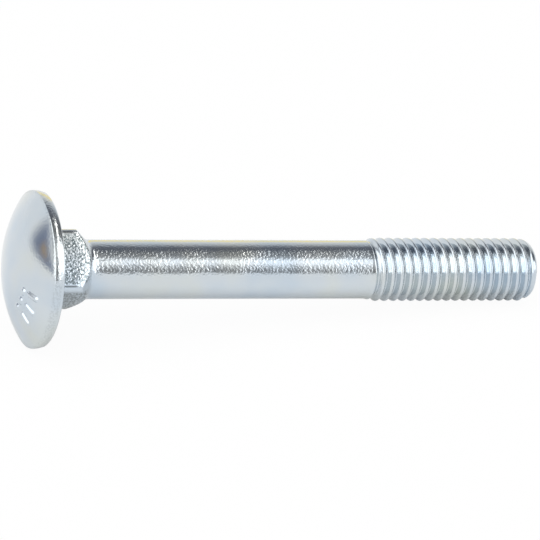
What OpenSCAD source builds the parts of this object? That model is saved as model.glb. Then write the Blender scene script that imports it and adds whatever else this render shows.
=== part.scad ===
// Carriage bolt: domed head, square neck, reduced round shank and rolled right-hand metric thread.
// It lies as it comes to rest, on the rim of its head and on the crest of its last full thread turn,
// with its length along X and its head towards -X.

/* [Length] */
// Length under the head, from the bearing face to the tip
bolt_len = 80; // [50:1:140]

/* [Head] */
// Diameter of the head at its rim
head_d = 23.9; // [20:0.1:30]
// Height of the head, from the bearing face to the top of the dome
head_h = 5.35; // [3.5:0.1:7]
// Height of the upright rim below the dome
rim_h = 1.6; // [1:0.1:2.5]
// Radius of the rim's back edge, next to the bearing face
rim_back_r = 0.5; // [0.1:0.05:0.8]
// Radius of the crease between the dome and the rim
rim_front_r = 0.25; // [0.1:0.05:0.6]

/* [Square neck] */
// Width across the flats of the neck
neck_w = 10; // [9.9:0.1:12]
// Length of the neck from the bearing face
neck_len = 6.4; // [4:0.1:9]
// Radius of the neck's four long corners
neck_corner_r = 1; // [0.3:0.1:2]
// Angle between the axis and the cone that ends the neck
neck_cone_angle = 45; // [30:1:60]
// Radius of the fillet between the neck's end and the shank
neck_fillet_r = 0.3; // [0.1:0.05:0.6]
// Turn of the square about the bolt's axis as it lies, 45 puts one corner straight down
neck_turn = 47; // [0:1:90]

/* [Shank] */
// Diameter of the plain shank, close to the thread's pitch diameter
shank_d = 9.03; // [8.6:0.01:9.3]

/* [Thread] */
// Nominal diameter of the thread
thread_nominal_d = 10; // [9.6:0.1:12]
// How far the crests of the rolled thread stay below the nominal diameter
crest_short = 0.2; // [0.05:0.05:0.4]
// Distance from one turn to the next
thread_pitch = 1.5; // [1.25:0.05:1.75]
// Length of the thread, with its run-out, from the tip
thread_len = 28; // [15:0.5:40]
// Length over which the thread fades into the shank
runout_len = 2; // [1:0.1:4]
// Diameter of the flat end face
tip_d = 8.5; // [6:0.1:8.8]
// Length of the cone from the last full crest to the end face
tip_len = 1.6; // [1:0.1:3]
// Length over which the grooves fade out towards the end face
tip_fade_len = 1.2; // [0.5:0.1:3]
// Turn of the thread against the square neck
thread_turn = -37; // [-180:1:180]

/* [Hidden] */
$fn = 96;
zinc = [0.74, 0.77, 0.80];

// Dome: one sphere through the crown and the rim
head_r = head_d / 2;
dome_h = head_h - rim_h;
dome_r = (head_r * head_r + dome_h * dome_h) / (2 * dome_h);
dome_z = dome_r - head_h;
// Crease: a small circle that touches the dome and the rim from inside
crease_r = head_r - rim_front_r;
crease_z = dome_z - sqrt(pow(dome_r - rim_front_r, 2) - pow(crease_r, 2));
dome_edge_r = crease_r * dome_r / (dome_r - rim_front_r);

// Thread: a 60 degree profile of root flat, rising flank, crest flat and falling flank
turn_steps = 32;
thread_z = bolt_len - thread_len;
tip_r = tip_d / 2;
flank_angle = 30;
depth_per_pitch = 0.633;
crest_r = (thread_nominal_d - crest_short) / 2;
root_r = thread_nominal_d / 2 - depth_per_pitch * thread_pitch;
flank_w = (crest_r - root_r) * tan(flank_angle);
crest_w = thread_pitch / 8 + crest_short * tan(flank_angle);
root_w = thread_pitch - 2 * flank_w - crest_w;
line_shift = [0, root_w, root_w + flank_w, root_w + flank_w + crest_w];
line_radius = [root_r, root_r, crest_r, crest_r];
line_count = len(line_shift);
lines = line_count * (ceil(thread_len / thread_pitch) + 2);
// Lines closer than this to an end of the thread are drawn into that end's ring
ring_snap = thread_pitch / turn_steps / 2;
// Step down from the shank to the ring where the thread starts, and how far that ring reaches into it
thread_step = ring_snap;
thread_root_in = runout_len / 4;
first_ring_r = shank_d / 2 - thread_step;

// Lie: the angle at which the rim's back edge and the last full crest both touch the ground
last_crest_z = bolt_len - tip_len;
touch_run = last_crest_z + rim_back_r;
touch_rise = head_r - rim_back_r - crest_r;
lie_angle = atan2(touch_rise, touch_run) + asin(rim_back_r / norm([touch_run, touch_rise]));
axis_height = last_crest_z * sin(lie_angle) + crest_r * cos(lie_angle);
dome_reach = dome_z * cos(lie_angle) - dome_r;
tip_reach = bolt_len * cos(lie_angle) + tip_r * sin(lie_angle);
middle_x = (dome_reach + tip_reach) / 2;

// Half of the head's section: the dome and the rim, with both rim edges rounded
module head_section() {
    difference() {
        union() {
            intersection() {
                translate([0, dome_z]) circle(r = dome_r);
                translate([0, -head_h]) square([dome_edge_r, head_h]);
            }
            translate([crease_r, crease_z]) circle(r = rim_front_r);
            translate([crease_r, crease_z]) square([rim_front_r, -crease_z]);
        }
        translate([head_r - rim_back_r, -rim_back_r]) difference() {
            square(2 * rim_back_r);
            circle(r = rim_back_r);
        }
    }
}

module head() {
    rotate_extrude() head_section();
}

// A square with round corners
module rounded_square(width, corner_r) {
    inner = width - 2 * corner_r;
    square([width, inner], center = true);
    square([inner, width], center = true);
    for (x = [-1, 1], y = [-1, 1])
        translate([x * inner / 2, y * inner / 2]) circle(r = corner_r);
}

// The neck's flats end in arcs, where the closing cone cuts them
module square_neck() {
    cone_rise = neck_len / tan(90 - neck_cone_angle);
    intersection() {
        linear_extrude(height = neck_len) rounded_square(neck_w, neck_corner_r);
        cylinder(h = neck_len, r1 = shank_d / 2 + neck_fillet_r + cone_rise,
                 r2 = shank_d / 2 + neck_fillet_r);
    }
}

// Half of the shank's section, with the fillet at the neck's end
module shank_section() {
    square([shank_d / 2, thread_z - thread_step]);
    translate([shank_d / 2, neck_len]) difference() {
        square(neck_fillet_r);
        translate([neck_fillet_r, neck_fillet_r]) circle(r = neck_fillet_r);
    }
}

module shank() {
    rotate_extrude() shank_section();
}

// Height of helix line m where it crosses column i
function line_z(i, m) =
    thread_pitch * (floor(m / line_count) - 1 + i / turn_steps) + line_shift[m % line_count];

// A mix of two values, a at 0 and b at 1
function mix(a, b, share) = a + (b - a) * min(max(share, 0), 1);

// Radius of helix line m at height z: run-out at the shank, cone and fading grooves at the tip
function line_r(m, z) =
    let (to_tip = thread_len - z,
         cone_r = tip_r + to_tip * (crest_r - tip_r) / tip_len,
         formed_r = mix(first_ring_r, line_radius[m % line_count], z / runout_len))
    mix(cone_r, min(formed_r, cone_r), to_tip / tip_fade_len);

function ring_point(i, r, z) =
    [r * cos(360 * i / turn_steps), r * sin(360 * i / turn_steps), z];

// The skin's points come in three rings, inside the shank, at the thread's start and at its end face,
// and then column by column
start_ring = turn_steps;
end_ring = 2 * turn_steps;
ring_points = 3 * turn_steps;

// Index of the point where line m crosses column i. Past the last column comes column 0, one turn up
function line_point(i, m) =
    let (column = i % turn_steps,
         line = i < turn_steps ? m : m + line_count,
         z = line_z(column, line))
    z < ring_snap ? start_ring + column :
    z > thread_len - ring_snap ? end_ring + column :
    ring_points + column * lines + line;

// The two triangles between a to b in one column and d to c in the next, less those of no width
function strip(a, b, c, d) =
    [if (a != b && b != c) [a, b, c], if (a != d && c != d) [a, c, d]];

// One closed skin that follows the helix, flat at both ends
module thread() {
    columns = [0 : turn_steps - 1];
    points = concat(
        [for (i = columns) ring_point(i, first_ring_r, -thread_root_in)],
        [for (i = columns) ring_point(i, first_ring_r, 0)],
        [for (i = columns) ring_point(i, tip_r, thread_len)],
        [for (i = columns, m = [0 : lines - 1])
            let (z = min(max(line_z(i, m), 0), thread_len)) ring_point(i, line_r(m, z), z)]);
    collar = [for (i = columns)
        let (j = (i + 1) % turn_steps) each strip(i, start_ring + i, start_ring + j, j)];
    turns = [for (i = columns, m = [0 : lines - 2])
        each strip(line_point(i, m), line_point(i, m + 1),
                   line_point(i + 1, m + 1), line_point(i + 1, m))];
    shank_face = [for (i = columns) i];
    end_face = [for (i = columns) ring_points - 1 - i];
    polyhedron(points, concat(collar, turns, [shank_face, end_face]), convexity = 10);
}

// The forged and rolled bolt, upright: bearing face at 0, head below, tip on top
module upright_bolt() {
    head();
    square_neck();
    shank();
    translate([0, 0, thread_z]) rotate(thread_turn) thread();
}

module carriage_bolt() {
    color(zinc)
        translate([-middle_x, 0, axis_height])
            rotate([0, 90 + lie_angle, 0])
                rotate(neck_turn)
                    upright_bolt();
}

carriage_bolt();
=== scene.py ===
"""A zinc-plated carriage bolt, lying on its side on a white studio floor.

The bolt is forged and rolled from one wire, so it is one closed mesh. It grows upright, in millimetres,
with its bearing face at height 0, its dome below and its tip on top, and is then laid down to where the
frame has it.
"""

import logging
import math
from dataclasses import dataclass, field
from enum import Enum
from typing import Any, Callable

import bmesh
import bpy
from mathutils import Matrix, Vector


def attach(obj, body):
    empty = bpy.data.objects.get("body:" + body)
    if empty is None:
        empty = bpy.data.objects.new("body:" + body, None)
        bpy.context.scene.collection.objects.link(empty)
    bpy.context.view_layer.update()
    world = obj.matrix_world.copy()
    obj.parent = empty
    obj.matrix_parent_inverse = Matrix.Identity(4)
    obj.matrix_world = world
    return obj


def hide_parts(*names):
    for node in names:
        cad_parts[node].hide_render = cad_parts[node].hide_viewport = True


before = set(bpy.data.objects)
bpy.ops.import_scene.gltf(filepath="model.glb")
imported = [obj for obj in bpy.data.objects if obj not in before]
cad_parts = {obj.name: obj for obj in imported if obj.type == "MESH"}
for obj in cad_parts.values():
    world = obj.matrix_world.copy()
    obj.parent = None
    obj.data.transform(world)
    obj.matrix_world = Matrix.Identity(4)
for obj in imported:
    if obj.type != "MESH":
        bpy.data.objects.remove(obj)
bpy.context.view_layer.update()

MM = 0.001
# Points in each ring round the bolt's axis
COLUMNS = 180
# Points closer than this are the same point
MERGE_MM = 0.001

log = logging.getLogger("carriage_bolt")


def linear(hex_colour: str) -> tuple[float, float, float, float]:
    """Turns an sRGB hex colour into the linear one that a shader takes.

    Args:
        hex_colour: The colour as "#RRGGBB".

    Returns:
        Linear red, green and blue, and an alpha of 1.
    """
    parts = [int(hex_colour[i:i + 2], 16) / 255 for i in (1, 3, 5)]
    values = [p / 12.92 if p <= 0.04045 else ((p + 0.055) / 1.055) ** 2.4 for p in parts]
    return values[0], values[1], values[2], 1.0


def light_of(tint: str, level: float) -> tuple[float, float, float, float]:
    """Gives the light of a tint at a level, where 1 is white paper in full light."""
    red, green, blue, _ = linear(tint)
    return red * level, green * level, blue * level, 1.0


def per_mm(size: float) -> float:
    """Gives the scale of a pattern in metres whose cells are this many millimetres wide."""
    return 1 / (size * MM)


def mix(start: float, end: float, share: float) -> float:
    """Mixes two values, start at a share of 0 and end at 1, and no further."""
    return start + (end - start) * min(max(share, 0.0), 1.0)


def ease(share: float) -> float:
    """Eases a share of 0 to 1 in and out."""
    share = min(max(share, 0.0), 1.0)
    return share * share * (3 - 2 * share)


def add_node(tree: bpy.types.NodeTree, kind: str, inputs: dict[Any, Any] | None = None,
             **settings: Any) -> bpy.types.Node:
    """Adds a node with its settings and links.

    Args:
        tree: The tree that the node goes into.
        kind: The node's type.
        inputs: A value or another node's socket for each input, by name or index.
        settings: The node's own properties.

    Returns:
        The new node.
    """
    node = tree.nodes.new(kind)
    for name, value in settings.items():
        setattr(node, name, value)
    for socket, value in (inputs or {}).items():
        if isinstance(value, bpy.types.NodeSocket):
            tree.links.new(value, node.inputs[socket])
        else:
            node.inputs[socket].default_value = value
    return node


class Grain(Enum):
    """How rough each stretch of the bolt is under its plate, and how pitted, each from 0 to 1."""

    DOME = (0.14, 0.0)
    RIM = (0.60, 0.16)
    NECK = (0.50, 0.85)
    NECK_CORNER = (0.22, 0.0)
    SHANK = (0.37, 0.0)
    THREAD = (0.15, 0.0)


class Skin:
    """The bolt's skin while it grows along the axis, ring after ring of columns."""

    def __init__(self) -> None:
        """Starts with an empty mesh, and a layer that tells each point's column."""
        self.mesh = bmesh.new()
        self.column = self.mesh.verts.layers.int.new("column")
        self.ring: list[bmesh.types.BMEdge] = []

    @staticmethod
    def even_angle(column: int) -> float:
        """Gives the angle of a column, in radians, where all are evenly spaced."""
        return 2 * math.pi * column / COLUMNS

    def turn(self, points: list[bmesh.types.BMVert], edges: list[bmesh.types.BMEdge],
             rise: float = 0.0) -> list[bmesh.types.BMVert]:
        """Spins a profile once round the axis.

        Args:
            points: The profile's points, beside the axis on the +X side.
            edges: The profile's edges.
            rise: How far the profile climbs in one turn.

        Returns:
            Every point of the turned surface, not merged yet.
        """
        others = set(self.mesh.verts) - set(points)
        bmesh.ops.spin(self.mesh, geom=[*points, *edges], cent=(0, 0, 0), axis=(0, 0, 1),
                       dvec=(0, 0, rise / COLUMNS), angle=2 * math.pi, steps=COLUMNS,
                       use_merge=rise == 0, use_duplicate=False)
        turned = [v for v in self.mesh.verts if v not in others]
        for vert in turned:
            share = math.atan2(vert.co.y, vert.co.x) / (2 * math.pi)
            vert[self.column] = round(share * COLUMNS) % COLUMNS
        return turned

    def merge(self) -> None:
        """Joins points that lie on each other."""
        bmesh.ops.remove_doubles(self.mesh, verts=self.mesh.verts, dist=MERGE_MM)

    def take_open_ring(self) -> None:
        """Makes the highest open ring the one that grows."""
        rings = [e for e in self.mesh.edges if e.is_boundary]
        top = max(v.co.z for e in rings for v in e.verts)
        self.ring = [e for e in rings if all(top - v.co.z < MERGE_MM for v in e.verts)]

    def grow(self, place: Callable[[int], Vector]) -> list[bmesh.types.BMEdge]:
        """Extrudes the open ring.

        Args:
            place: Gives the new point of each column.

        Returns:
            The edges of the new ring.
        """
        made = bmesh.ops.extrude_edge_only(self.mesh, edges=self.ring)["geom"]
        fresh = {item for item in made if isinstance(item, bmesh.types.BMVert)}
        for vert in fresh:
            vert.co = place(vert[self.column])
        self.ring = [item for item in made
                     if isinstance(item, bmesh.types.BMEdge) and set(item.verts) <= fresh]
        return self.ring

    def close(self, height: float) -> None:
        """Closes the open ring in one point on the axis."""
        points = list({v for e in self.ring for v in e.verts})
        bmesh.ops.pointmerge(self.mesh, verts=points, merge_co=(0, 0, height))


def arc(centre: tuple[float, float], radius: float, start: float, end: float,
        steps: int) -> list[tuple[float, float]]:
    """Gives points on an arc.

    Args:
        centre: The arc's centre, as distance from the axis and height.
        radius: The arc's radius.
        start: The first point's angle in radians.
        end: The last point's angle in radians.
        steps: How many steps the arc has.

    Returns:
        The points, as distance from the axis and height.
    """
    angles = [start + (end - start) * i / steps for i in range(steps + 1)]
    return [(centre[0] + radius * math.cos(a), centre[1] + radius * math.sin(a)) for a in angles]


@dataclass(frozen=True)
class RaisedMark:
    """A plain raised pip or bar that the forging die leaves on the dome."""

    start: tuple[float, float]
    end: tuple[float, float]
    radius: float = 0.8
    height: float = 0.28
    steepness: float = 1.35

    def distance(self, point: Vector) -> float:
        """Gives the distance from a point to the mark's middle line, seen along the axis.

        Args:
            point: A point on the upright bolt.

        Returns:
            The distance in millimetres.
        """
        spot, start = Vector((point.x, point.y)), Vector(self.start)
        run = Vector(self.end) - start
        share = (spot - start).dot(run) / run.length_squared if run.length else 0.0
        return (spot - start - run * min(max(share, 0.0), 1.0)).length

    def rise(self, point: Vector) -> float:
        """Gives how far the mark lifts the dome at a point."""
        return self.height * ease(self.steepness * (1 - self.distance(point) / self.radius))


@dataclass
class Head:
    """The domed head, with its slightly barrelled rim and its flat bearing face."""

    diameter: float = 23.9
    height: float = 5.35
    rim_height: float = 1.6
    back_radius: float = 0.5
    front_radius: float = 0.25
    rim_crown: float = 2.4
    rim_front_slope: float = 6.0
    rim_back_slope: float = 20.0
    rim_edge_radius: float = 0.4
    face_inner_radius: float = 7.6
    dome_steps: int = 30
    crease_steps: int = 5
    crown_steps: int = 8
    edge_steps: int = 5
    marks_middle: float = -112.0
    pip_ring: float = 6.1
    pip_turns: tuple[float, ...] = (-17.0, 0.0, 17.0)
    ray_span: tuple[float, float] = (7.5, 9.0)
    ray_turns: tuple[float, ...] = (-20.0, -3.0, 14.0)
    ray_radius: float = 0.55
    marks_cuts: int = 3
    cut_margin: float = 0.35
    lift_margin: float = 0.9

    @property
    def radius(self) -> float:
        """Half the head's diameter."""
        return self.diameter / 2

    @property
    def dome_radius(self) -> float:
        """Radius of the sphere through the crown and the rim."""
        rise = self.height - self.rim_height
        return (self.radius ** 2 + rise ** 2) / (2 * rise)

    @property
    def dome_centre(self) -> float:
        """Height of that sphere's centre."""
        return self.dome_radius - self.height

    def section(self) -> list[tuple[float, float]]:
        """Draws half of the head's section, from the crown round the rim to the bearing face.

        Returns:
            The section's points, as distance from the axis and height.
        """
        slope, fall = math.radians(self.rim_front_slope), math.radians(self.rim_back_slope)
        crease_r = self.radius - self.front_radius - self.rim_crown * (1 - math.cos(slope))
        reach = self.dome_radius - self.front_radius
        crease_z = self.dome_centre - math.sqrt(reach ** 2 - crease_r ** 2)
        crease_angle = math.atan2(crease_z - self.dome_centre, crease_r)
        dome = arc((0, self.dome_centre), self.dome_radius, -math.pi / 2, crease_angle, self.dome_steps)
        crease = arc((crease_r, crease_z), self.front_radius, crease_angle, -slope, self.crease_steps)
        crown_r = self.radius - self.rim_crown
        crown_z = crease_z + (self.rim_crown - self.front_radius) * math.sin(slope)
        crown = arc((crown_r, crown_z), self.rim_crown, -slope, fall, self.crown_steps)
        edge_r = crown_r + (self.rim_crown - self.rim_edge_radius) * math.cos(fall)
        edge = arc((edge_r, -self.rim_edge_radius), self.rim_edge_radius, fall, math.pi / 2,
                   self.edge_steps)
        return [*dome, *crease[1:], *crown[1:], *edge[1:], (self.face_inner_radius, 0)]

    def marks(self) -> list[RaisedMark]:
        """Gives the raised marks: three pips on an arc, and three short rays outside them.

        Returns:
            The pips and the rays.
        """
        def at(radius: float, degrees: float) -> tuple[float, float]:
            """Gives a place by its distance from the axis and its angle from the marks' middle."""
            turn = math.radians(self.marks_middle + degrees)
            return radius * math.cos(turn), radius * math.sin(turn)

        near, far = self.ray_span
        pips = [RaisedMark(at(self.pip_ring, a), at(self.pip_ring, a)) for a in self.pip_turns]
        rays = [RaisedMark(at(near, a), at(far, a), radius=self.ray_radius) for a in self.ray_turns]
        return [*pips, *rays]

    def raise_marks(self, skin: Skin) -> None:
        """Lifts the raised marks out of the dome, on a finer net.

        Args:
            skin: The skin, with the dome turned and merged.
        """
        marks = self.marks()
        near = [f for f in skin.mesh.faces if f.calc_center_median().z < -self.rim_height
                and any(m.distance(f.calc_center_median()) < m.radius + self.cut_margin for m in marks)]
        bmesh.ops.subdivide_edges(skin.mesh, edges=list({e for f in near for e in f.edges}),
                                  cuts=self.marks_cuts, use_grid_fill=True)
        centre = Vector((0, 0, self.dome_centre))
        for vert in (v for v in skin.mesh.verts if v.co.z < -self.rim_height):
            if any(m.distance(vert.co) < m.radius + self.lift_margin for m in marks):
                lift = max(m.rise(vert.co) for m in marks)
                vert.co = centre + (vert.co - centre).normalized() * (self.dome_radius + lift)

    def build(self, skin: Skin) -> None:
        """Turns the head's section into the skin's first stretch.

        Args:
            skin: The skin, still empty.
        """
        points = [skin.mesh.verts.new((r, 0, z)) for r, z in self.section()]
        edges = [skin.mesh.edges.new(pair) for pair in zip(points, points[1:])]
        skin.turn(points, edges)
        skin.merge()
        self.raise_marks(skin)
        skin.take_open_ring()


@dataclass
class SquareNeck:
    """The square neck, whose flats end in arcs where a cone cuts them."""

    width: float = 10.0
    length: float = 6.4
    corner_radius: float = 1.0
    cone_angle: float = 45.0
    end_radius: float = 4.815
    foot_radius: float = 0.35
    arc_edge_radius: float = 0.14
    arc_edge_steps: int = 3
    flat_columns: int = 11
    foot_steps: int = 4
    flat_rings: tuple[float, ...] = (0.34, 0.67, 1.0)

    def outline(self, column: int, grow: float = 0.0) -> Vector:
        """Gives the point of the rounded square on a column.

        Args:
            column: The column's number.
            grow: How far the outline stands off the neck.

        Returns:
            The point, at height 0.
        """
        quarter, step = divmod(column, COLUMNS // 4)
        last = COLUMNS // 4 - self.flat_columns
        half_flat = self.width / 2 - self.corner_radius
        reach = self.width / 2 + grow
        if step < self.flat_columns:
            point = Vector((reach, half_flat * step / self.flat_columns, 0))
        elif step > last:
            point = Vector((half_flat * (COLUMNS // 4 - step) / self.flat_columns, reach, 0))
        else:
            angle = math.pi / 2 * (step - self.flat_columns) / (last - self.flat_columns)
            corner = Vector((math.cos(angle), math.sin(angle), 0)) * (self.corner_radius + grow)
            point = Vector((half_flat, half_flat, 0)) + corner
        return Matrix.Rotation(quarter * math.pi / 2, 3, "Z") @ point

    def angle(self, column: int) -> float:
        """Gives the angle of a column on the neck, less than half a turn from its even angle.

        Args:
            column: The column's number.

        Returns:
            The angle in radians.
        """
        point = self.outline(column)
        even = Skin.even_angle(column)
        return even + math.remainder(math.atan2(point.y, point.x) - even, 2 * math.pi)

    def cut_height(self, column: int) -> float:
        """Gives the height at which the cone cuts the neck on a column."""
        over = self.outline(column).length - self.end_radius
        return self.length - over / math.tan(math.radians(self.cone_angle))

    def build(self, skin: Skin) -> list[bmesh.types.BMEdge]:
        """Grows the neck from the bearing face to the end of its cone.

        Args:
            skin: The skin, open at the bearing face.

        Returns:
            The edges of the arcs, for the bevel that follows.
        """
        for i in range(self.foot_steps + 1):
            turn = math.pi / 2 * i / self.foot_steps
            off = self.foot_radius * (1 - math.sin(turn))
            height = self.foot_radius * (1 - math.cos(turn))
            skin.grow(lambda c, o=off, h=height: self.outline(c, o) + Vector((0, 0, h)))
        for share in self.flat_rings:
            arcs = skin.grow(lambda c, s=share: self.outline(c)
                             + Vector((0, 0, mix(self.foot_radius, self.cut_height(c), s))))
        skin.grow(lambda c: self.outline(c).normalized() * self.end_radius
                  + Vector((0, 0, self.length)))
        return arcs


@dataclass
class Shank:
    """The plain shank, as thick as the wire that the thread is rolled on."""

    diameter: float = 9.03
    fillet_length: float = 0.9
    fillet_steps: int = 5
    even_by: float = 16.0
    ring_spacing: float = 1.2

    @property
    def radius(self) -> float:
        """Half the shank's diameter."""
        return self.diameter / 2

    def build(self, skin: Skin, neck: SquareNeck, end: float) -> None:
        """Grows the fillet behind the neck and then the shank.

        Args:
            skin: The skin, open at the end of the neck.
            neck: The neck, whose columns crowd at its corners.
            end: The height where the thread starts.
        """
        start = neck.length
        rings = [start + self.fillet_length * (i + 1) / self.fillet_steps
                 for i in range(self.fillet_steps)]
        count = math.ceil((end - rings[-1]) / self.ring_spacing)
        spacing = (end - rings[-1]) / count
        rings += [rings[-1] + spacing * (i + 1) for i in range(count)]
        for height in rings:
            left = max(0.0, 1 - (height - start) / self.fillet_length)
            radius = self.radius + (neck.end_radius - self.radius) * left ** 2
            evened = ease((height - start) / (self.even_by - start))

            def place(column: int, r: float = radius, z: float = height, share: float = evened) -> Vector:
                """Puts a column on this ring, between its crowded and its even angle."""
                angle = mix(neck.angle(column), Skin.even_angle(column), share)
                return Vector((r * math.cos(angle), r * math.sin(angle), z))

            skin.grow(place)


@dataclass
class Thread:
    """The rolled right-hand metric thread, with its run-out and its tip."""

    length: float = 28.0
    nominal_diameter: float = 10.0
    crest_short: float = 0.2
    pitch: float = 1.5
    runout_length: float = 2.0
    tip_diameter: float = 8.5
    tip_length: float = 1.6
    fade_length: float = 1.2
    tip_round: float = 0.6
    turn: float = -37.0
    crest_round: float = 0.32
    root_round: float = 0.16
    crest_steps: int = 8
    root_steps: int = 5
    flank_support: float = 0.04
    spare_turns: int = 3
    cup_radius: float = 3.4
    cup_floor_share: float = 0.8
    cup_depth: float = 0.2
    flank_angle: float = 30.0
    depth_per_pitch: float = 0.633

    @property
    def crest_radius(self) -> float:
        """Radius over the crests."""
        return (self.nominal_diameter - self.crest_short) / 2

    @property
    def crest_middle(self) -> float:
        """Height of a crest's middle over the start of its turn, where the groove begins."""
        slope = math.tan(math.radians(self.flank_angle))
        root_radius = self.nominal_diameter / 2 - self.depth_per_pitch * self.pitch
        flank = (self.crest_radius - root_radius) * slope
        crest = self.pitch / 8 + self.crest_short * slope
        return self.pitch - flank - crest / 2

    @property
    def tip_radius(self) -> float:
        """Radius of the end face."""
        return self.tip_diameter / 2

    def profile(self, mesh: bmesh.types.BMesh,
                start: float) -> tuple[list[bmesh.types.BMVert], list[bmesh.types.BMEdge]]:
        """Draws the thread's profile along its whole length, with round crests and roots.

        Args:
            mesh: The mesh to draw it in.
            start: The height where the thread starts.

        Returns:
            The profile's points and edges.
        """
        slope = math.tan(math.radians(self.flank_angle))
        above_round = 2 * (1 - math.sqrt(0.5)) * math.cos(math.radians(self.flank_angle))
        sharp_crest = self.crest_radius + above_round * self.crest_round / slope
        sharp_root = sharp_crest - self.pitch / 2 / slope
        low = start - (self.spare_turns + self.turn / 360) * self.pitch + self.crest_middle
        turns = math.ceil(self.length / self.pitch) + self.spare_turns
        others = set(mesh.verts)
        crests = [mesh.verts.new((sharp_crest, 0, low + i * self.pitch)) for i in range(turns + 1)]
        roots = [mesh.verts.new((sharp_root, 0, low + (i + 0.5) * self.pitch)) for i in range(turns)]
        crest_reach, root_reach = self.crest_round / slope, self.root_round / slope
        supports = []
        for corner, reach in [*((c, crest_reach) for c in crests), *((r, root_reach) for r in roots)]:
            for other in crests + roots:
                if abs(abs(other.co.z - corner.co.z) - self.pitch / 2) < MERGE_MM:
                    way = (other.co - corner.co).normalized()
                    supports.append(mesh.verts.new(corner.co + way * (reach + self.flank_support)))
        line = sorted([*crests, *roots, *supports], key=lambda v: v.co.z)
        for pair in zip(line, line[1:]):
            mesh.edges.new(pair)
        for corners, reach, steps in ((crests[1:-1], crest_reach, self.crest_steps),
                                      (roots, root_reach, self.root_steps)):
            bmesh.ops.bevel(mesh, geom=corners, offset=reach, offset_type="OFFSET", profile=0.5,
                            segments=steps, affect="VERTICES", material=-1)
        points = [v for v in mesh.verts if v not in others]
        return points, list({e for v in points for e in v.link_edges})

    def settle(self, vert: bmesh.types.BMVert, start: float, shank_radius: float) -> None:
        """Moves a point of the endless thread to its place on the bolt.

        Args:
            vert: The point.
            start: The height where the thread starts.
            shank_radius: The radius that the run-out ends in.
        """
        snap = self.pitch / COLUMNS / 2
        end = start + self.length
        height = min(max(vert.co.z, start), end)
        height = start if height < start + snap else end if height > end - snap else height
        around = Vector((vert.co.x, vert.co.y, 0))
        to_tip = end - height
        cone = self.tip_radius + to_tip * (self.crest_radius - self.tip_radius) / self.tip_length
        formed = mix(shank_radius, around.length, ease((height - start) / self.runout_length))
        radius = mix(cone, min(formed, cone), to_tip / self.fade_length)
        into_round = max(0.0, self.tip_round - to_tip)
        radius -= self.tip_round - math.sqrt(self.tip_round ** 2 - into_round ** 2)
        vert.co = around.normalized() * radius + Vector((0, 0, height))

    def build(self, skin: Skin, start: float, shank_radius: float) -> None:
        """Rolls the thread and closes the end face.

        Args:
            skin: The skin, open where the thread starts.
            start: The height where the thread starts.
            shank_radius: The radius that the run-out ends in.
        """
        turned = skin.turn(*self.profile(skin.mesh, start), rise=self.pitch)
        for vert in turned:
            self.settle(vert, start, shank_radius)
        skin.merge()
        skin.take_open_ring()
        end = start + self.length
        for radius, height in ((self.cup_radius, end),
                               (self.cup_radius * self.cup_floor_share, end - self.cup_depth)):
            skin.grow(lambda c, r=radius, h=height: Vector(
                (r * math.cos(Skin.even_angle(c)), r * math.sin(Skin.even_angle(c)), h)))
        skin.close(end - self.cup_depth)


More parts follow.
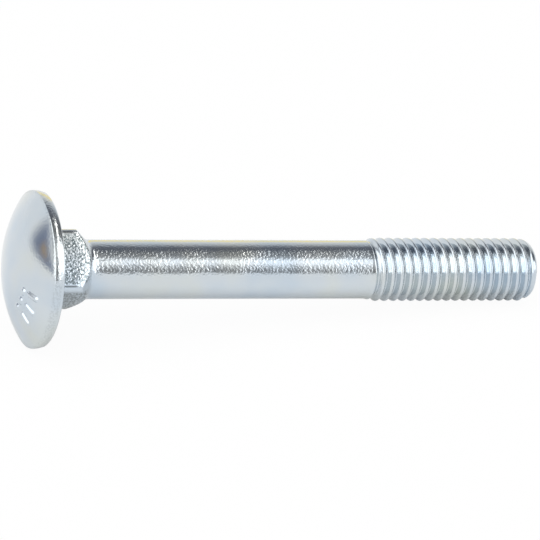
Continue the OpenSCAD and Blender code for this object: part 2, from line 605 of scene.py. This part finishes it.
@dataclass
class CarriageBolt:
    """The whole bolt, upright first and then laid down as it comes to rest."""

    length: float = 80.0
    neck_turn: float = 47.0
    head: Head = field(default_factory=Head)
    neck: SquareNeck = field(default_factory=SquareNeck)
    shank: Shank = field(default_factory=Shank)
    thread: Thread = field(default_factory=Thread)

    @property
    def lie_angle(self) -> float:
        """Angle in radians at which the rim and the last full crest both touch the floor."""
        run = self.length - self.thread.tip_length + self.head.back_radius
        rise = self.head.radius - self.head.back_radius - self.thread.crest_radius
        return math.atan2(rise, run) + math.asin(self.head.back_radius / math.hypot(run, rise))

    @property
    def lay(self) -> Matrix:
        """Turns the upright bolt in millimetres into the lying one in metres."""
        lie = self.lie_angle
        last_crest = self.length - self.thread.tip_length
        rise = last_crest * math.sin(lie) + self.thread.crest_radius * math.cos(lie)
        dome_reach = self.head.dome_centre * math.cos(lie) - self.head.dome_radius
        tip_reach = self.length * math.cos(lie) + self.thread.tip_radius * math.sin(lie)
        place = Matrix.Translation((-(dome_reach + tip_reach) / 2, 0, rise))
        tilt = Matrix.Rotation(math.pi / 2 + lie, 4, "Y")
        turn = Matrix.Rotation(math.radians(self.neck_turn), 4, "Z")
        return Matrix.Scale(MM, 4) @ place @ tilt @ turn

    def grain_at(self, point: Vector) -> tuple[float, float]:
        """Gives how rough and how pitted the bolt is at a point.

        Args:
            point: A point on the upright bolt.

        Returns:
            The grain there, and the pits there, each from 0 to 1.
        """
        if point.z < MERGE_MM:
            on_rim = math.hypot(point.x, point.y) > self.head.radius - self.head.front_radius / 2
            return (Grain.RIM if on_rim else Grain.DOME).value
        if point.z < self.neck.length:
            half_flat = self.neck.width / 2 - self.neck.corner_radius
            on_corner = min(abs(point.x), abs(point.y)) > half_flat
            return (Grain.NECK_CORNER if on_corner else Grain.NECK).value
        run_in = self.length - self.thread.length + self.thread.pitch / 4
        return (Grain.SHANK if point.z < run_in else Grain.THREAD).value

    def build(self) -> bpy.types.Object:
        """Grows the bolt upright, sets its grain and lays it down.

        Returns:
            The finished piece, without its material.
        """
        skin = Skin()
        start = self.length - self.thread.length
        self.head.build(skin)
        arcs = self.neck.build(skin)
        self.shank.build(skin, self.neck, start)
        self.thread.build(skin, start, self.shank.radius)
        bmesh.ops.bevel(skin.mesh, geom=arcs, offset=self.neck.arc_edge_radius, offset_type="OFFSET",
                        segments=self.neck.arc_edge_steps, profile=0.5, affect="EDGES", material=-1)
        bmesh.ops.recalc_face_normals(skin.mesh, faces=skin.mesh.faces)
        grain, pits = (skin.mesh.verts.layers.float.new(name) for name in ("grain", "pits"))
        for vert in skin.mesh.verts:
            vert[grain], vert[pits] = self.grain_at(vert.co)
        skin.mesh.verts.layers.int.remove(skin.mesh.verts.layers.int["column"])
        for face in skin.mesh.faces:
            face.smooth = True
        bmesh.ops.transform(skin.mesh, matrix=self.lay, verts=skin.mesh.verts)
        open_edges = sum(not e.is_manifold for e in skin.mesh.edges)
        mesh = bpy.data.meshes.new("forged_bolt")
        skin.mesh.to_mesh(mesh)
        skin.mesh.free()
        bolt = bpy.data.objects.new("forged_bolt", mesh)
        bpy.context.scene.collection.objects.link(bolt)
        mesh.calc_loop_triangles()
        log.info("%s: %d triangles, %d open edges", bolt.name, len(mesh.loop_triangles), open_edges)
        return bolt


@dataclass(frozen=True)
class ZincPlate:
    """Bright zinc, electroplated on cold-forged steel and passivated clear.

    That gives the eye a cold blue-white that mirrors the room, sharply on the dome and the thread. On the
    shank and the neck the grain of the forged steel shows through, and it breaks the mirrored room up.
    """

    plate: str = "#CED6DC"
    blue: str = "#C3D0DC"
    warm: str = "#D3D8D6"
    blue_until: float = 0.3
    warm_from: float = 0.7
    roughness: float = 0.13
    pit: str = "#5E6C70"
    # Forged grain and pits are about 0.1 mm wide, too fine to show, so they are drawn three times as coarse
    pit_mm: float = 0.30
    pit_none: float = 0.58
    pit_full: float = 0.40
    grain_mm: float = 0.37
    grain_height_mm: float = 0.11
    # Patches where the grain is finer, down to this share of its strength
    patch_mm: float = 7.0
    patch_range: tuple[float, float] = (0.35, 0.65)
    patch_least: float = 0.50
    wave_mm: float = 4.5
    wave_height_mm: float = 0.14
    cloud_mm: float = 9.0

    def make(self) -> bpy.types.Material:
        """Makes the plate's material.

        Returns:
            The material, which reads the piece's grain and pits layers.
        """
        material = bpy.data.materials.new("bright_zinc_plate")
        material.use_nodes = True
        tree = material.node_tree
        tree.nodes.clear()
        place = add_node(tree, "ShaderNodeTexCoord").outputs["Object"]
        clouds = add_node(tree, "ShaderNodeTexNoise", {
            "Vector": place, "Scale": per_mm(self.cloud_mm), "Detail": 2.0, "Roughness": 0.5})
        tint = add_node(tree, "ShaderNodeValToRGB", {"Fac": clouds.outputs["Fac"]})
        ramp = tint.color_ramp
        ramp.elements[0].position, ramp.elements[0].color = self.blue_until, linear(self.blue)
        ramp.elements[1].position, ramp.elements[1].color = self.warm_from, linear(self.warm)
        ramp.elements.new(0.5).color = linear(self.plate)
        grains = add_node(tree, "ShaderNodeTexNoise", {
            "Vector": place, "Scale": per_mm(self.grain_mm), "Detail": 1.5, "Roughness": 0.5,
            "Distortion": 0.2})
        patches = add_node(tree, "ShaderNodeTexNoise", {
            "Vector": place, "Scale": per_mm(self.patch_mm), "Detail": 1.0, "Roughness": 0.5})
        patch = add_node(tree, "ShaderNodeMapRange", {
            "Value": patches.outputs["Fac"], "From Min": self.patch_range[0],
            "From Max": self.patch_range[1], "To Min": self.patch_least})
        waves = add_node(tree, "ShaderNodeTexNoise", {
            "Vector": place, "Scale": per_mm(self.wave_mm), "Detail": 0.0})
        strength = add_node(tree, "ShaderNodeAttribute", attribute_name="grain").outputs["Fac"]
        grain_strength = add_node(tree, "ShaderNodeMath", {
            0: strength, 1: patch.outputs["Result"]}, operation="MULTIPLY")
        waved = add_node(tree, "ShaderNodeBump", {
            "Strength": strength, "Distance": self.wave_height_mm * MM, "Height": waves.outputs["Fac"]})
        bump = add_node(tree, "ShaderNodeBump", {
            "Strength": grain_strength.outputs[0], "Distance": self.grain_height_mm * MM,
            "Height": grains.outputs["Fac"], "Normal": waved.outputs["Normal"]})
        pitted = add_node(tree, "ShaderNodeAttribute", attribute_name="pits").outputs["Fac"]
        holes = add_node(tree, "ShaderNodeTexNoise", {
            "Vector": place, "Scale": per_mm(self.pit_mm), "Detail": 1.0, "Roughness": 0.5})
        deep = add_node(tree, "ShaderNodeMapRange", {
            "Value": holes.outputs["Fac"], "From Min": self.pit_none, "From Max": self.pit_full,
            "To Max": pitted})
        colour = add_node(tree, "ShaderNodeMix", {
            0: deep.outputs["Result"], 6: tint.outputs["Color"], 7: linear(self.pit)}, data_type="RGBA")
        shader = add_node(tree, "ShaderNodeBsdfPrincipled", {
            "Base Color": colour.outputs[2], "Metallic": 1.0, "Roughness": self.roughness,
            "Normal": bump.outputs["Normal"]})
        add_node(tree, "ShaderNodeOutputMaterial", {"Surface": shader.outputs["BSDF"]})
        return material


@dataclass(frozen=True)
class WhiteFloor:
    """A sweep of white paper, matt and lit evenly, that keeps the bolt's soft shadow."""

    white: str = "#F4F4F4"
    half_size: float = 3.0
    # How much of the paper is plain white to the camera, and in the plate, which mirrors the lit paper too
    seen_glow: float = 0.95
    mirrored_glow: float = 0.12

    def build(self) -> bpy.types.Object:
        """Builds the floor and its material.

        Returns:
            The floor.
        """
        mesh = bmesh.new()
        bmesh.ops.create_grid(mesh, x_segments=1, y_segments=1, size=self.half_size)
        data = bpy.data.meshes.new("studio_floor")
        mesh.to_mesh(data)
        mesh.free()
        floor = bpy.data.objects.new("studio_floor", data)
        bpy.context.scene.collection.objects.link(floor)
        material = bpy.data.materials.new("white_paper")
        material.use_nodes = True
        tree = material.node_tree
        tree.nodes.clear()
        rays = add_node(tree, "ShaderNodeLightPath")
        mirrored = add_node(tree, "ShaderNodeMath", {
            0: rays.outputs["Is Glossy Ray"], 1: rays.outputs["Is Transmission Ray"]}, operation="MAXIMUM")
        shown = add_node(tree, "ShaderNodeMath", {
            0: mirrored.outputs[0], 1: self.mirrored_glow}, operation="MULTIPLY")
        seen = add_node(tree, "ShaderNodeMath", {
            0: rays.outputs["Is Camera Ray"], 1: self.seen_glow, 2: shown.outputs[0]},
            operation="MULTIPLY_ADD")
        paper = add_node(tree, "ShaderNodeBsdfDiffuse", {"Color": linear(self.white)})
        glow = add_node(tree, "ShaderNodeEmission", {"Color": linear("#FFFFFF"), "Strength": 1.0})
        both = add_node(tree, "ShaderNodeMixShader", {
            0: seen.outputs[0], 1: paper.outputs[0], 2: glow.outputs[0]})
        add_node(tree, "ShaderNodeOutputMaterial", {"Surface": both.outputs[0]})
        data.materials.append(material)
        return floor


@dataclass(frozen=True)
class Band:
    """A band of the room that runs along the bolt, by its angle from the front horizon over the bolt."""

    name: str
    angle: float
    level: float
    tint: str = "#FFFFFF"


@dataclass(frozen=True)
class Panel:
    """A panel of the room with soft edges, out to one side of the bolt."""

    name: str
    # 1 towards the tip or -1 towards the head, and how far that way the panel's edge fades in, from 0 to 1
    side: int
    edge: float
    full: float
    level: float
    tint: str = "#FFFFFF"
    # The angles over the bolt, in degrees, between which it fades in and then out
    low: tuple[float, float] = (5.0, 10.0)
    high: tuple[float, float] = (84.0, 98.0)
    # How far that way it ends, past 1 where it doesn't
    end: float = 1.2
    end_fade: float = 0.04

    def add(self, tree: bpy.types.NodeTree, room: bpy.types.NodeSocket, along: bpy.types.NodeSocket,
            angle: bpy.types.NodeSocket) -> bpy.types.NodeSocket:
        """Adds the panel to the room.

        Args:
            tree: The world's tree.
            room: The colour of the room so far.
            along: How far a direction points along the bolt.
            angle: A direction's angle over the bolt, in radians.

        Returns:
            The colour of the room with the panel.
        """
        outward = add_node(tree, "ShaderNodeMath", {
            0: along, 1: float(self.side)}, operation="MULTIPLY").outputs[0]
        fades = ((outward, self.edge, self.full),
                 (outward, self.end, self.end - self.end_fade),
                 (angle, *(math.radians(a) for a in self.low)),
                 (angle, *(math.radians(a) for a in reversed(self.high))))
        share = 1.0
        for value, none, whole in fades:
            fade = add_node(tree, "ShaderNodeMapRange", {
                "Value": value, "From Min": none, "From Max": whole}, interpolation_type="SMOOTHSTEP")
            share = add_node(tree, "ShaderNodeMath", {
                0: share, 1: fade.outputs["Result"]}, operation="MULTIPLY").outputs[0]
        return add_node(tree, "ShaderNodeMix", {
            0: share, 6: room, 7: light_of(self.tint, self.level)}, data_type="RGBA",
            label=self.name).outputs[2]


@dataclass(frozen=True)
class StudioRoom:
    """The room that the plate mirrors: bands along the bolt, panels beside it and a dark doorway."""

    bands: tuple[Band, ...] = (
        Band("floor_edge", 5, 1.0),
        Band("front_wall_foot", 9, 0.34),
        Band("front_wall_low", 18, 0.24),
        Band("front_wall", 26, 0.36),
        Band("light_strip_foot", 34, 0.52),
        Band("light_strip_low", 42, 0.62),
        Band("light_strip", 50, 0.64),
        Band("light_strip_high", 58, 0.64),
        Band("light_strip_top", 66, 0.50),
        Band("front_ceiling_low", 75, 0.30),
        Band("front_ceiling", 84, 0.24),
        Band("ceiling_front", 93, 0.21),
        Band("ceiling", 103, 0.18, "#F0F3FF"),
        Band("ceiling_back", 113, 0.17, "#F0F3FF"),
        Band("back_ceiling", 124, 0.24, "#F0F3FF"),
        Band("back_wall", 138, 0.58),
        Band("backdrop_top", 150, 0.78),
        Band("backdrop", 163, 0.92),
        Band("backdrop_foot", 174, 1.0),
    )
    panels: tuple[Panel, ...] = (
        Panel("left_panel", -1, 0.12, 0.30, 1.7, high=(104.0, 124.0)),
        Panel("left_backdrop", -1, 0.20, 0.45, 0.95, low=(116.0, 138.0), high=(176.0, 186.0)),
        Panel("right_panel_arm", 1, 0.22, 0.46, 1.4, low=(36.0, 48.0), high=(57.0, 65.0)),
        Panel("right_panel_foot", 1, 0.40, 0.46, 1.5, high=(58.0, 72.0)),
        Panel("right_panel", 1, 0.47, 0.58, 3.75, "#FFFAF4", high=(99.0, 114.0), end=0.65),
        Panel("right_panel_far", 1, 0.64, 0.70, 1.7, high=(64.0, 84.0)),
        Panel("cream_curtain", 1, 0.12, 0.24, 1.15, "#FFEBAA", (155.0, 173.0), (190.0, 200.0), end=0.56),
        Panel("doorway", -1, 0.68, 0.86, 0.36, "#CCDBFF", (134.0, 150.0), (168.0, 184.0)),
        Panel("wooden_shelf", -1, 0.87, 0.92, 0.42, "#FFE0C0", (147.0, 154.0), (160.0, 170.0), end=0.98),
    )
    # How much of the room's light falls on the paper, which the lamp lights too
    diffuse_share: float = 0.4

    def build(self) -> bpy.types.World:
        """Builds the world, white to the camera and the room to the plate.

        Returns:
            The world.
        """
        world = bpy.data.worlds.new("studio_room")
        world.use_nodes = True
        tree = world.node_tree
        tree.nodes.clear()
        way = add_node(tree, "ShaderNodeTexCoord").outputs["Generated"]
        axes = add_node(tree, "ShaderNodeSeparateXYZ", {0: way})
        front = add_node(tree, "ShaderNodeMath", {0: axes.outputs["Y"], 1: -1.0}, operation="MULTIPLY")
        angle = add_node(tree, "ShaderNodeMath", {
            0: axes.outputs["Z"], 1: front.outputs[0]}, operation="ARCTAN2").outputs[0]
        share = add_node(tree, "ShaderNodeMath", {0: angle, 1: math.pi}, operation="DIVIDE")
        over = add_node(tree, "ShaderNodeValToRGB", {"Fac": share.outputs[0]})
        ramp = over.color_ramp
        ramp.elements.remove(ramp.elements[1])
        for i, band in enumerate(self.bands):
            stop = ramp.elements[0] if i == 0 else ramp.elements.new(band.angle / 180)
            stop.position, stop.color = band.angle / 180, light_of(band.tint, band.level)
        room = over.outputs["Color"]
        for panel in self.panels:
            room = panel.add(tree, room, axes.outputs["X"], angle)
        rays = add_node(tree, "ShaderNodeLightPath")
        seen = add_node(tree, "ShaderNodeMix", {
            0: rays.outputs["Is Camera Ray"], 6: room, 7: (1, 1, 1, 1)}, data_type="RGBA")
        strength = add_node(tree, "ShaderNodeMath", {
            0: rays.outputs["Is Diffuse Ray"], 1: self.diffuse_share - 1, 2: 1.0}, operation="MULTIPLY_ADD")
        light = add_node(tree, "ShaderNodeBackground", {
            "Color": seen.outputs[2], "Strength": strength.outputs[0]})
        add_node(tree, "ShaderNodeOutputWorld", {"Surface": light.outputs[0]})
        world.cycles.sampling_method = "NONE"
        bpy.context.scene.world = world
        return world


@dataclass(frozen=True)
class SoftLamp:
    """A large soft lamp far overhead, which lights the floor evenly, near the bolt and away from it."""

    name: str = "overhead_softbox"
    towards: tuple[float, float, float] = (-0.15, -0.25, 0.95)
    spread: float = 120.0
    strength: float = 2.3

    def build(self) -> bpy.types.Object:
        """Builds the lamp, which the plate doesn't mirror.

        Returns:
            The lamp.
        """
        data = bpy.data.lights.new(self.name, "SUN")
        data.angle, data.energy = math.radians(self.spread), self.strength
        lamp = bpy.data.objects.new(self.name, data)
        lamp.rotation_mode = "QUATERNION"
        lamp.rotation_quaternion = Vector(self.towards).to_track_quat("Z", "Y")
        lamp.visible_glossy = False
        bpy.context.scene.collection.objects.link(lamp)
        return lamp


@dataclass(frozen=True)
class BoltCamera:
    """A long lens from the head's side, a little above, rolled so that the bolt lies level."""

    focal_px: float = 4400.0
    frame_px: float = 540.0
    sensor_mm: float = 36.0
    # The turn towards the head and the rise over the bolt, in degrees, and the distance in millimetres
    side_turn: float = 20.9
    rise: float = 25.0
    distance: float = 675.0
    # The height on the upright bolt that it aims at, and how far the picture sits below that
    aim: float = 36.83
    drop: float = 0.107
    clip_m: tuple[float, float] = (0.05, 20.0)

    def build(self, bolt: CarriageBolt) -> bpy.types.Object:
        """Builds the camera and makes it the scene's.

        Args:
            bolt: The bolt that it looks at.

        Returns:
            The camera.
        """
        lie, rise, turn = bolt.lie_angle, math.radians(self.rise), math.radians(self.side_turn)
        along = Vector((math.cos(lie), 0, -math.sin(lie)))
        above = Vector((math.sin(lie), 0, math.cos(lie)))
        beside = Vector((0, 1, 0))
        nearer = above * math.sin(rise) - beside * math.cos(rise)
        right = along * math.cos(turn) + nearer * math.sin(turn)
        up = above * math.cos(rise) + beside * math.sin(rise)
        back = nearer * math.cos(turn) - along * math.sin(turn)
        target = bolt.lay @ Vector((0, 0, self.aim))
        data = bpy.data.cameras.new("camera")
        data.sensor_width = self.sensor_mm
        data.lens = self.focal_px / self.frame_px * self.sensor_mm
        data.clip_start, data.clip_end = self.clip_m
        camera = bpy.data.objects.new("camera", data)
        place = Matrix((right, up, back)).transposed().to_4x4()
        place.translation = target + (back * self.distance - up * self.drop) * MM
        camera.matrix_world = place
        bpy.context.scene.collection.objects.link(camera)
        bpy.context.scene.camera = camera
        return camera


def main() -> None:
    """Builds the bolt and its studio."""
    logging.basicConfig(level=logging.INFO, format="%(name)s: %(message)s")
    bpy.context.scene.view_settings.view_transform = "Standard"
    bolt = CarriageBolt()
    piece = bolt.build()
    piece.data.materials.append(ZincPlate().make())
    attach(piece, "root")
    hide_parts("carriage_bolt")
    camera = BoltCamera().build(bolt)
    log.info("%s: at %s", camera.name, tuple(round(x, 4) for x in camera.matrix_world.translation))
    floor = WhiteFloor()
    log.info("%s: %.1f m across", floor.build().name, 2 * floor.half_size)
    room = StudioRoom()
    log.info("%s: %s", room.build().name, ", ".join(part.name for part in (*room.bands, *room.panels)))
    lamp = SoftLamp()
    log.info("%s: %.1f W/m2", lamp.build().name, lamp.strength)


if __name__ == "__main__":
    main()
